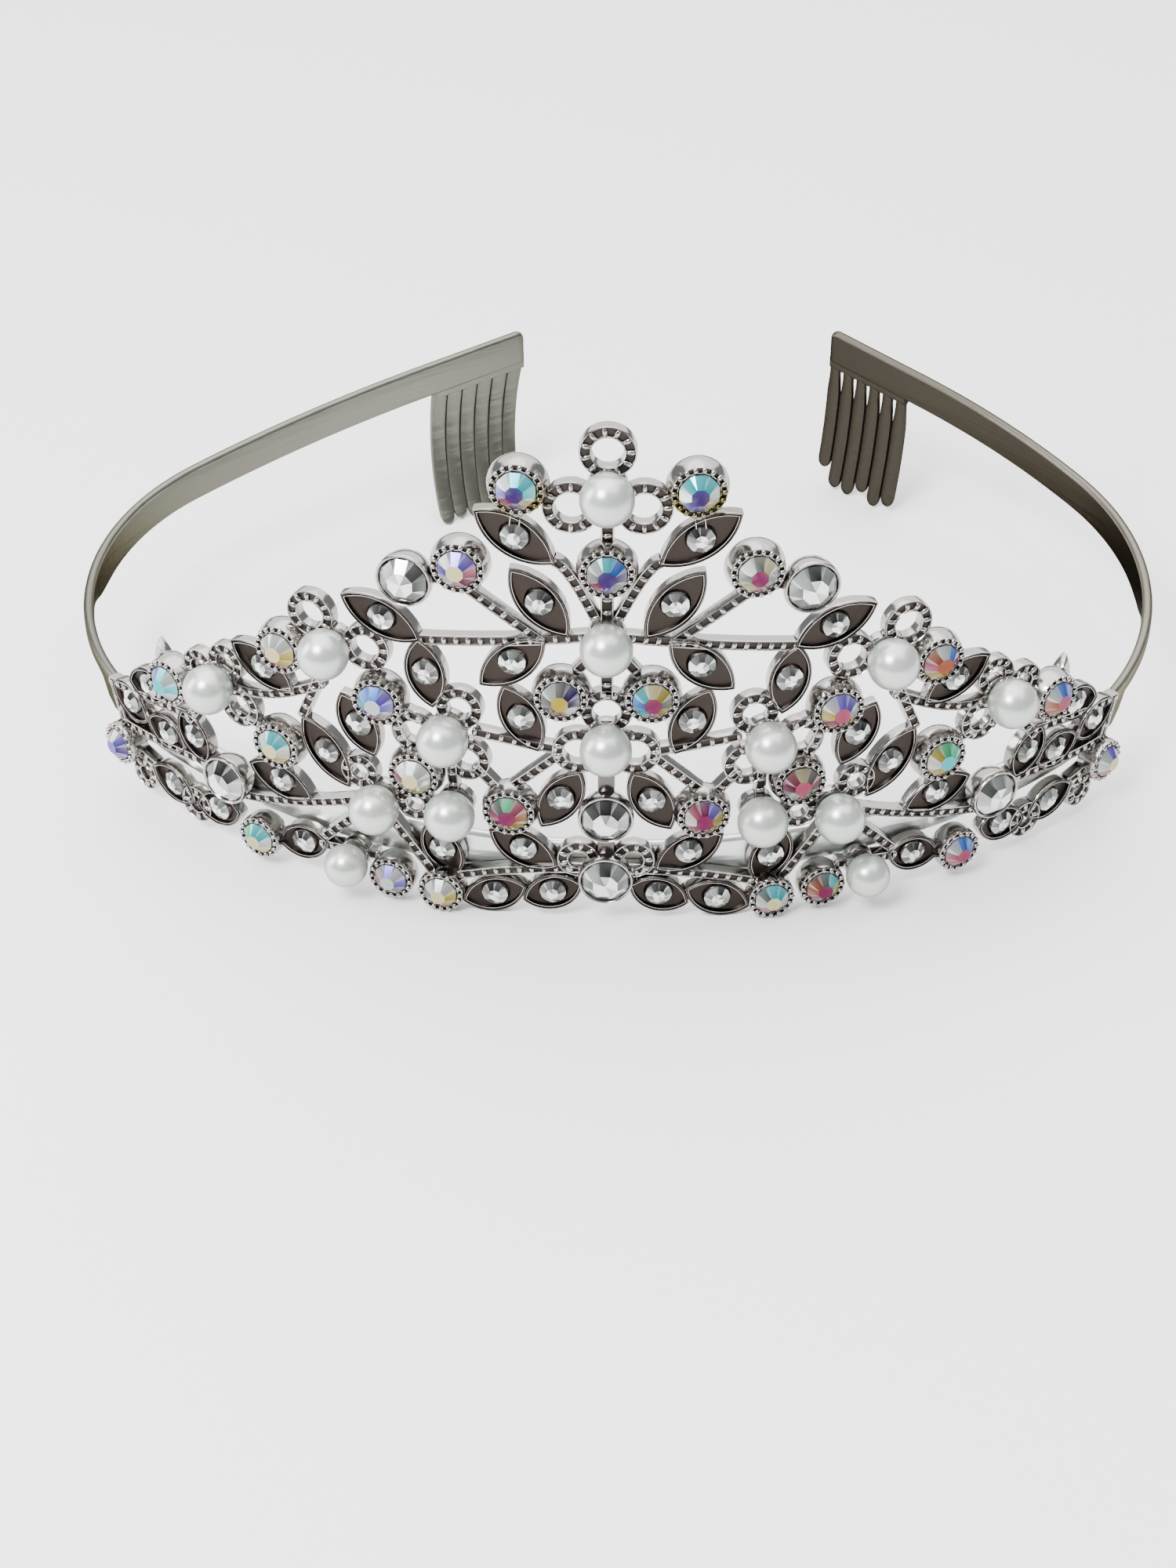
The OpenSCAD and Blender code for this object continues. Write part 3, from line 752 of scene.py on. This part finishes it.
def beads(name, paths, pitch, size):
    """Beads of the panel along paths, each a list of (point, outward) and whether it closes."""
    points, edges, outward = [], [], []
    for path, closed in paths:
        first = len(points)
        points += [point for point, _ in path]
        outward += [normal for _, normal in path]
        edges += [(first + i, first + i + 1) for i in range(len(path) - 1)]
        if closed:
            edges.append((first + len(path) - 1, first))
    mesh = bpy.data.meshes.new(name + "_paths")
    mesh.from_pydata(points, edges, [])
    attribute = mesh.attributes.new("outward", "FLOAT_VECTOR", "POINT")
    attribute.data.foreach_set("vector", [value for normal in outward for value in normal])
    carrier = new_object(name + "_paths", mesh)
    modifier = carrier.modifiers.new("beads", "NODES")
    modifier.node_group = BEAD_TREE
    items = BEAD_TREE.interface.items_tree
    sockets = {item.name: item.identifier for item in items if item.in_out == "INPUT"}
    modifier[sockets["Pitch"]] = pitch * MM
    modifier[sockets["Bead size"]] = [length * MM for length in size]
    modifier[sockets["Finish"]] = BRIGHT
    graph = bpy.context.evaluated_depsgraph_get()
    plain = bpy.data.meshes.new_from_object(carrier.evaluated_get(graph), depsgraph=graph)
    plain.name = name
    piece = new_object(name, plain)
    carrier.modifiers.remove(modifier)
    bpy.data.objects.remove(carrier)
    declare(piece, PANEL_NODES)


def on_face(spot, point):
    """World place of a local point, with the direction out of the band's face there."""
    outward = spot.to_3x3() @ Vector((0, 0, 1))
    outward.normalize()
    return spot @ Vector(point), outward


def ring_path(spot, radius, z_out, count=48):
    """Closed path of beads round a place."""
    return [on_face(spot, point) for point in circle(radius, z_out, count)], True


def route_path(path, side, z_out):
    """Open path of beads along a stem."""
    return [on_face(place(side * s, z), (0, 0, z_out)) for s, z in path], False


def both_sides(rows):
    """Every row of a half chart with its signed arc length, right side first."""
    return [(side * row[0], *row[1:]) for side in (1, -1) for row in rows]


def leaves():
    """Leaves and bare tips of the casting."""
    shape = Shape()
    for s, z, degrees, length in both_sides(LEAVES):
        leaf(shape, turned(s, z, degrees), length)
    for s, z, degrees, length in both_sides(TIPS):
        leaf_tip(shape, turned(s, z, degrees), length)
    finish("leaves", shape, METAL, PANEL_NODES)


def cups():
    """Cups of the stones with their rings of beads, and seats of the pearls."""
    shape = Shape()
    rings = []
    iris = [(0, CENTRE_IRIS)] + both_sides(IRIS)
    foot = both_sides(FOOT_IRIS)
    sizes = ((iris, IRIS_D, RING_D, CUP_SWELL), (foot, FOOT_IRIS_D, FOOT_RING_D, 0.0))
    for stones, stone_d, ring_d, swell in sizes:
        for s, z in stones:
            beaded_cup(shape, place(s, z), stone_d, ring_d, swell)
            rings.append(ring_path(place(s, z), ring_d / 2 - CUP_BEADS_INSET, CUP_BEADS_OUT))
    for s, z in [(0, z) for z in CENTRE_CLEAR] + both_sides(CLEAR):
        plain_cup(shape, place(s, z))
    for s, z in [(0, z) for z in CENTRE_PEARLS] + both_sides(PEARLS):
        pearl_seat(shape, place(s, z), PEARL_D)
    for s, z in both_sides([FOOT_PEARL]):
        pearl_seat(shape, place(s, z), FOOT_PEARL_D)
    finish("cups", shape, METAL, PANEL_NODES)
    beads("cup_beads", rings, BEAD_PITCH, CUP_BEAD)


def wires():
    """Loops and stems of the casting, with the milgrain in their channels."""
    shape = Shape()
    loop_grains, stem_grains = [], []
    for s, z, mid_r in [(0, z, mid_r) for z, mid_r in CENTRE_LOOPS] + both_sides(LOOPS):
        loop(shape, place(s, z), mid_r)
        loop_grains.append(ring_path(place(s, z), mid_r, WIRE_BEADS_OUT))
    for low, high, width in CENTRE_STEMS:
        path = smooth_path([(0, low), (0, high)])
        stem(shape, path, 1, width)
        if width <= CHANNEL_MAX_W:
            stem_grains.append(route_path(path, 1, WIRE_BEADS_OUT))
    for side in SIDES.values():
        for route in STEMS:
            path = smooth_path(route)
            stem(shape, path, side, STEM_W)
            stem_grains.append(route_path(path, side, WIRE_BEADS_OUT))
    finish("wires", shape, METAL, PANEL_NODES)
    beads("loop_milgrain", loop_grains, LOOP_PITCH, LOOP_BEAD)
    beads("stem_milgrain", stem_grains, STEM_PITCH, STEM_BEAD)


def mixed(first, second, share):
    """Colour between two named tones."""
    low, high = linear(TONES[first]), linear(TONES[second])
    return [a + (b - a) * share for a, b in zip(low, high)]


def stone_points(diameter, table, crown, back):
    """Corners of the table and of the girdle's top and foot, the back's point and the table's middle."""
    eighth = math.pi / 4
    half_narrow = 0.13
    girdle_top, girdle_foot = 0.1, -0.12
    girdle = []
    for i in range(8):
        girdle += [(i + 0.5) * eighth - half_narrow, (i + 0.5) * eighth + half_narrow]
    points = circle(table / 2, crown, 8, eighth / 2)
    for z in (girdle_top, girdle_foot):
        points += [(diameter / 2 * math.cos(angle), diameter / 2 * math.sin(angle), z) for angle in girdle]
    return points + [(0.0, 0.0, -back), (0.0, 0.0, crown)]


def cut_stone(shape, spot, diameter, table, crown, back, tints, fan=""):
    """Round cut stone: an eight-sided table, eight broad facets with narrow ones between, a pointed back.

    tints gives the table's tone, then those of the broad facets in turn from the right; fan gives the
    tones round the table of a deep clear stone, where its back shows through. Every facet's tone is mixed
    towards white and dark across it as painted reflections and glints, and a clear stone's white, pale, grey
    and dark tones are painted reflections.
    """
    first = len(shape.points)
    shape.points += [spot @ Vector(point) for point in stone_points(diameter, table, crown, back)]
    tables = [first + i for i in range(8)]
    tops = [first + 8 + i for i in range(16)]
    lows = [first + 24 + i for i in range(16)]
    tip, middle = first + 40, first + 41
    centre, *broad = tints.split()
    fan = fan.split()
    for i in range(8):
        j = (i + 1) % 8
        if fan:
            here, there = fan[i % len(fan)], fan[j % len(fan)]
            wedge = [mixed(here, there, 0.1), mixed(here, "pale", 0.3), mixed(here, "white", 0.3)]
        else:
            wedge = [mixed(centre, "dark", 0.1), mixed(centre, broad[i], 0.06), mixed(centre, broad[j], 0.06)]
        shape.face((middle, tables[i], tables[j]), 0, wedge)
        tint, before, after = broad[j], broad[i], broad[(j + 1) % 8]
        facet = [
            mixed(tint, "dark", 0.3), mixed(tint, before, 0.3),
            mixed(tint, "white", 0.12), mixed(tint, after, 0.1),
        ]
        shape.face((tables[i], tops[2 * i + 1], tops[(2 * i + 2) % 16], tables[j]), 0, facet)
        # Painted glint: the narrow facets beside the table are mixed towards white, most on every third one
        # of a clear stone.
        painted_glint = 0.75 if fan and i % 3 == 1 else 0.25
        edge = [mixed(before, "white", painted_glint), mixed(before, "white", painted_glint), mixed(tint, "grey", 0.3)]
        shape.face((tables[i], tops[2 * i], tops[2 * i + 1]), 0, edge)
    for i in range(16):
        j = (i + 1) % 16
        shape.face((lows[i], lows[j], tops[j], tops[i]), 0, [mixed("pale", "grey", 0.5)] * 4)
        shape.face((tip, lows[j], lows[i]), 0, [mixed("grey", "pale", 0.3)] * 3)


# Tones of the stones and, for the clear ones, of the fan round the table, as cut_stone takes them; their
# white, pale, grey and dark tones are painted reflections
CLEAR_TINTS = [
    "white pale grey dark grey pale grey white pale",
    "white grey pale dark white grey pale pale white",
    "white dark grey pale grey pale white grey pale",
]
CLEAR_FANS = [
    "pale dark white white white white white pale",
    "white pale dark white white white pale white",
    "dark white pale white white pale white white",
]
IRIS_TINTS = {
    "centre": "violet violet blue cyan pale grey rose lilac pale",
    "left_1": "violet cyan cyan cyan white lilac rose violet cream",
    "right_1": "violet pale cyan cyan cyan white lilac violet cream",
    "left_2": "cream rose lilac lilac pale lilac pale rose magenta",
    "right_2": "magenta pale cream grey white grey cream rose grey",
    "left_3": "yellow violet violet grey pale grey grey orange white",
    "right_3": "magenta grey yellow cream cyan blue cyan rose yellow",
    "left_4": "magenta orange rose green grey rose magenta yellow yellow",
    "right_4": "magenta yellow lilac magenta rose pale rose magenta yellow",
    "left_5": "pale lilac lilac blue blue cyan lilac rose pale",
    "right_5": "rose pale lilac lilac pale yellow rose magenta yellow",
    "left_6": "cream pale pale white pale rose pale yellow cream",
    "right_6": "rose rose grey cream rose magenta pale rose green",
    "left_7": "cream yellow pale pale pale pale rose rose yellow",
    "right_7": "orange rose blue pale orange rose yellow yellow grey",
    "left_8": "cream pale cyan cyan pale cyan rose cream yellow",
    "right_8": "cyan cyan green green yellow pale yellow yellow cream",
    "left_9": "cyan cyan pale cyan lilac pale cyan blue pale",
    "right_9": "rose blue lilac blue pale orange orange yellow cream",
}
FOOT_TINTS = {
    "left": [
        "cream yellow pale grey pale grey pale rose yellow",
        "pale lilac pale lilac pale rose pale pale grey",
        "cream pale cyan cyan green cyan cyan yellow cream",
        "lilac violet lilac pale rose lilac pale violet lilac",
    ],
    "right": [
        "cream pale cyan cyan grey pale rose rose pale",
        "magenta yellow cyan grey orange orange magenta rose yellow",
        "rose violet blue blue pale rose rose magenta lilac",
        "cream pale lilac lilac pale pale orange orange yellow",
    ],
}


def stone_piece(node, stones, slot):
    """Cut stones of one node: rows of place, size, table, crown, back and tints."""
    shape = Shape()
    for row in stones:
        cut_stone(shape, *row)
    glass = IRIS_GLASS if slot == "iris_glass" else CLEAR_GLASS
    piece = finish("cut_" + node, shape, [glass], (node,), sharp=1.0)
    for polygon in piece.data.polygons:
        polygon.use_smooth = False


def numbered(stones, rows):
    """Adds the rows of a half chart on both sides to stones that go by name, such as left_1."""
    for side, sign in SIDES.items():
        for i, (s, z) in enumerate(rows):
            stones[f"{side}_{i + 1}"] = (sign * s, z)
    return stones.items()


def iris_row(s, z, diameter, tints):
    """Row of a coated stone in its beaded cup."""
    sunk, table, crown, back = 0.3, diameter * 0.46, 1.12, 1.4
    spot = place(s, z) @ Matrix.Translation((0, 0, GAP + CUP_T - sunk))
    return spot, diameter, table, crown, back, tints


def iris_stones():
    """Iridescent stones, one piece each, and those along the foot as one piece on each side."""
    for name, (s, z) in numbered({"centre": (0, CENTRE_IRIS)}, IRIS):
        stone_piece("iris_stone_" + name, [iris_row(s, z, IRIS_D, IRIS_TINTS[name])], "iris_glass")
    for side, sign in SIDES.items():
        foot = zip(FOOT_IRIS, FOOT_TINTS[side])
        rows = [iris_row(sign * s, z, FOOT_IRIS_D, tints) for (s, z), tints in foot]
        stone_piece("foot_stones_" + side, rows, "iris_glass")


def clear_row(i, s, z):
    """Row of a clear stone in its plain cup."""
    sunk, table, crown, back = 0.5, CLEAR_D * 0.56, 1.2, 1.7
    spot = place(s, z) @ Matrix.Translation((0, 0, GAP + CUP_T - sunk))
    return spot, CLEAR_D, table, crown, back, CLEAR_TINTS[i % 3], CLEAR_FANS[i % 3]


def clear_stones():
    """Clear stones, one piece each."""
    centre = {"upper": (0, CENTRE_CLEAR[0]), "lower": (0, CENTRE_CLEAR[1])}
    for i, (name, (s, z)) in enumerate(numbered(centre, CLEAR)):
        stone_piece("clear_stone_" + name, [clear_row(i, s, z)], "clear_glass")


def leaf_rows(rows):
    """Rows of the small clear stones in the given leaves."""
    sunk, overlap, table, crown, back = 0.4, 0.15, 1.5, 0.55, 0.8
    stones = []
    for i, (s, z, degrees, _) in enumerate(rows):
        spot = turned(s, z, degrees) @ Matrix.Translation((0, 0, GAP + CAST_T - sunk))
        tints, fan = CLEAR_TINTS[i % 3], CLEAR_FANS[(i + 1) % 3]
        stones.append((spot, LEAF_STONE_D + overlap, table, crown, back, tints, fan))
    return stones


def leaf_stones():
    """Stones of the leaves, as one piece in the centre and one on each side."""
    pieces = {"centre": both_sides(LEAVES[:SPRAY])}
    for side, sign in SIDES.items():
        pieces[side] = [(sign * s, z, degrees, length) for s, z, degrees, length in LEAVES[SPRAY:]]
    for name, rows in pieces.items():
        stone_piece("leaf_stones_" + name, leaf_rows(rows), "clear_glass")


def pearl(node, s, z, diameter, rows=24, count=40):
    """Round pearl, with its poles towards the band and out of it."""
    spot = place(s, z) @ Matrix.Translation((0, 0, PEARL_OUT))
    radius = diameter / 2
    rings = []
    for k in range(1, rows):
        angle = math.pi * k / rows
        rings.append(circle(radius * math.sin(angle), -radius * math.cos(angle), count))
    shape = Shape()
    shape.loft(rings, [0] * (rows - 2), spot, caps=False)
    last = (rows - 2) * count
    for height, ring in ((-radius, range(count - 1, -1, -1)), (radius, range(last, last + count))):
        shape.points.append(spot @ Vector((0, 0, height)))
        pole = len(shape.points) - 1
        for i in range(count):
            shape.face((ring[i], ring[(i + 1) % count], pole), 0)
    finish("round_" + node, shape, [PEARL], (node,), sharp=180)


def pearls():
    """All pearls, each in the place of its node."""
    for i, z in enumerate(CENTRE_PEARLS):
        pearl(f"pearl_centre_{i + 1}", 0, z, PEARL_D)
    for side, sign in SIDES.items():
        for i, (s, z) in enumerate(PEARLS):
            pearl(f"pearl_{side}_{i + 1}", sign * s, z, PEARL_D)
        pearl("foot_pearl_" + side, sign * FOOT_PEARL[0], FOOT_PEARL[1], FOOT_PEARL_D)


def strip_height(y):
    """Height of the strip from foot to top at a y of the plan."""
    for (y0, h0), (y1, h1) in zip(STRIP, STRIP[1:]):
        if y <= y1:
            return h0 + (h1 - h0) * max(0.0, (y - y0) / (y1 - y0))
    return STRIP[-1][1]


def strip_top(y):
    """Level of the strip's top, which rises towards the arms."""
    return BAND_TOP + y * math.tan(BAND_RISE)


def arm_foot(y):
    """Level of the strip's foot along an arm."""
    return strip_top(y) - STRIP[-1][1]


def rounded_section(across0, across1, low, high, low_r, high_r, steps=3):
    """Rounded rectangle as (across, height), counterclockwise."""
    corners = [
        (across1 - low_r, low + low_r, low_r, -90), (across1 - high_r, high - high_r, high_r, 0),
        (across0 + high_r, high - high_r, high_r, 90), (across0 + low_r, low + low_r, low_r, 180),
    ]
    ring = []
    for x, z, radius, start in corners:
        for i in range(steps + 1):
            angle = math.radians(start + 90 * i / steps)
            ring.append((x + radius * math.cos(angle), z + radius * math.sin(angle)))
    return ring


def band_point(at, inward, z, side):
    """World point inward from the band's outer face at a plan place."""
    x, y, heading = at
    return row_point(side * (x - inward * math.sin(heading)), y + inward * math.cos(heading), z)


def half_strip(shape, arcs, side):
    """One half of the strip, from the middle of the front to its arm's end; returns its first point."""
    length = arcs_length(arcs) + ARM_END
    count = round(length / STRIP_STEP)
    stations = [(length * i / count, 0.0, 0.0) for i in range(count)]
    stations += [(length - back, pinch, low) for back, pinch, low in ARM_END_ROWS]
    rings = []
    for s, pinch, low in stations:
        at = along(arcs, s)
        top = strip_top(at[1])
        foot = top - strip_height(at[1])
        round_r = (BAND_T / 2 - pinch) * TOP_ROUNDING
        ring = rounded_section(pinch, BAND_T - pinch, foot + pinch, top - low, round_r * 0.5, round_r)
        rings.append([band_point(at, across, z, side) for across, z in ring])
    first, last = shape.sweep(rings, STRIP_SLOTS)
    shape.end_cap(last, len(STRIP_SLOTS), POLISHED_FACE)
    return first


def eased(share):
    """Share between 0 and 1 with a soft start and end."""
    share = min(1.0, max(0.0, share))
    return share * share * (3 - 2 * share)


def comb_inward(arcs, comb, z):
    """How far the middle of a comb lies in from the strip's outer face, as it curls in below the strip."""
    curl_r = comb["curl_r"]
    drop = max(0.0, arm_foot(along(arcs, arcs_length(arcs))[1]) - z)
    return BAND_T / 2 + curl_r - math.sqrt(curl_r ** 2 - drop ** 2)


def tooth_ring(at, inward, z, side, half, thick):
    """Section of a tooth with soft corners, from its half breadth and half thickness."""
    x, y, heading = at
    softness = 0.75
    ring = []
    for i in range(TOOTH_POINTS):
        angle = 2 * math.pi * i / TOOTH_POINTS
        cos, sin = math.cos(angle), math.sin(angle)
        lengthwise = half * math.copysign(abs(cos) ** softness, cos)
        across = thick * math.copysign(abs(sin) ** softness, sin)
        spot = (x + lengthwise * math.cos(heading), y + lengthwise * math.sin(heading), heading)
        ring.append(band_point(spot, inward + across, z, side))
    return ring


def comb_tooth(shape, arcs, side, comb, number):
    """One tooth, from behind the strip to its rounded tip; the front tooth has number 0."""
    root, below = comb["breadths"]
    pitch = (comb["width"] - comb["tooth"]) / (TEETH - 1)
    first = -(TEETH - 1) / 2 * pitch
    offset = first + number * pitch
    middle = arcs_length(arcs) + ARM_END - comb["width"] / 2 + offset
    head = arm_foot(along(arcs, middle)[1]) + TOOTH_HEAD
    tip = FOOT_Z + 0.02 + comb["lifts"][number]
    levels = [head + (tip + TOOTH_TIP - head) * k / 16 for k in range(17)]
    levels += [tip + TOOTH_TIP * share for share in (0.75, 0.5, 0.28, 0.12, 0.03)]
    rings = []
    for z in levels:
        share = min(1.0, (z - tip) / TOOTH_TIP)
        breadth = root + (below - root) * eased((head - 2.4 - z) / 4.0)
        half = comb["tooth"] / 2 * breadth * math.sqrt(max(0.02, 1 - (1 - share) ** 2))
        thick = COMB_T / 2 * math.sqrt(max(0.05, 1 - (1 - min(1.0, share * 1.6)) ** 2))
        shift = ((offset - first) * (1 - comb["closing"]) + comb["lean"]) * (head - z) / (head - tip)
        at = along(arcs, middle - shift)
        rings.append(tooth_ring(at, comb_inward(arcs, comb, z), z, side, half, thick))
    shape.loft(rings, [SATIN_FACE] * (len(rings) - 1), Matrix.Identity(4))


def comb_root(shape, arcs, side, comb):
    """Plate that the teeth of a comb hang from, along the strip's foot."""
    start = arcs_length(arcs)
    inner, outer = BAND_T / 2 - COMB_T / 2, BAND_T / 2 + COMB_T / 2
    rings = []
    for k in range(9):
        at = along(arcs, start + ARM_END - comb["width"] + 0.1 + (comb["width"] - 0.2) * k / 8)
        foot = arm_foot(at[1])
        section = rounded_section(inner, outer, foot - COMB_ROOT, foot + 0.8, 0.25, 0.1)
        inwards = [across + comb_inward(arcs, comb, z) - BAND_T / 2 for across, z in section]
        rings.append([band_point(at, inward, z, side) for inward, (_, z) in zip(inwards, section)])
    shape.loft(rings, [SATIN_FACE] * (len(rings) - 1), Matrix.Identity(4))


def add_comb(shape, arcs, side, comb):
    """Teeth and root plate of one comb."""
    for number in range(TEETH):
        comb_tooth(shape, arcs, side, comb, number)
    comb_root(shape, arcs, side, comb)


def headband():
    """Strip and combs as one spring, whose halves meet in the middle of the front."""
    shape = Shape()
    right = half_strip(shape, RIGHT_ARCS, 1)
    left = half_strip(shape, LEFT_ARCS, -1)
    add_comb(shape, RIGHT_ARCS, 1, RIGHT_COMB)
    add_comb(shape, LEFT_ARCS, -1, LEFT_COMB)
    for i in range(len(STRIP_SLOTS)):
        shape.points[left + i] = shape.points[right + i].copy()
    piece = finish("spring_band", shape, SPRING, ("headband",))
    clean(piece.data, 1e-7)


def floor():
    """Plain pale floor."""
    material = principled("pale_floor", {"Base Color": linear("#F7F7F6"), "Roughness": 0.6})[0]
    mesh = bpy.data.meshes.new("floor")
    reach = 8.0
    corners = [(-reach, -reach, 0), (reach, -reach, 0), (reach, reach, 0), (-reach, reach, 0)]
    mesh.from_pydata(corners, [], [(0, 1, 2, 3)])
    mesh.materials.append(material)
    plane = new_object("floor", mesh)


def soft_light(name, spot, aim, size, power):
    """Broad rectangular light that the camera doesn't see."""
    light = bpy.data.lights.new(name, "AREA")
    light.shape = "RECTANGLE"
    light.size, light.size_y = size
    light.energy = power
    lamp = new_object(name, light)
    lamp.location = spot
    lamp.rotation_euler = (Vector(aim) - Vector(spot)).to_track_quat("-Z", "Y").to_euler()
    lamp.visible_camera = False


def studio():
    """White box overhead, a soft key at the left, and an even pale room."""
    world = bpy.data.worlds.new("studio")
    bpy.context.scene.world = world
    world.use_nodes = True
    background = world.node_tree.nodes["Background"]
    background.inputs["Color"].default_value = linear("#DDE2E6")
    background.inputs["Strength"].default_value = 0.55
    sky = bpy.data.lights.new("sky", "SUN")
    sky.angle = math.radians(60)
    sky.energy = 1.5
    lamp = new_object("sky", sky)
    lamp.rotation_euler = Vector((0.1, -0.15, -1)).to_track_quat("-Z", "Y").to_euler()
    soft_light("back", (0, 1.1, 0.75), (0, 0, 0.02), (2.2, 0.9), 14.0)
    soft_light("overhead", (0, 0.1, 0.9), (0, 0.1, 0), (1.5, 1.2), 16.0)
    soft_light("key", (-0.28, -0.42, 0.6), (0, -0.02, 0.02), (0.26, 0.26), 9.0)
    soft_light("left", (-0.7, -0.05, 0.3), (0, -0.02, 0.02), (0.3, 0.5), 4.0)


def camera():
    """Camera at the photograph's place, aimed so that the middle of its frame is the photo's."""
    lens = bpy.data.cameras.new("camera")
    lens.sensor_width = 36.0
    lens.lens = CAMERA_LENS
    lens.clip_start = 0.01
    view = new_object("camera", lens)
    spot, aim = row_point(*CAMERA_SPOT), row_point(*CAMERA_AIM)
    view.location = spot
    view.rotation_euler = (aim - spot).to_track_quat("-Z", "Y").to_euler()
    bpy.context.scene.camera = view


leaves()
cups()
wires()
iris_stones()
clear_stones()
leaf_stones()
pearls()
headband()
floor()
studio()
camera()
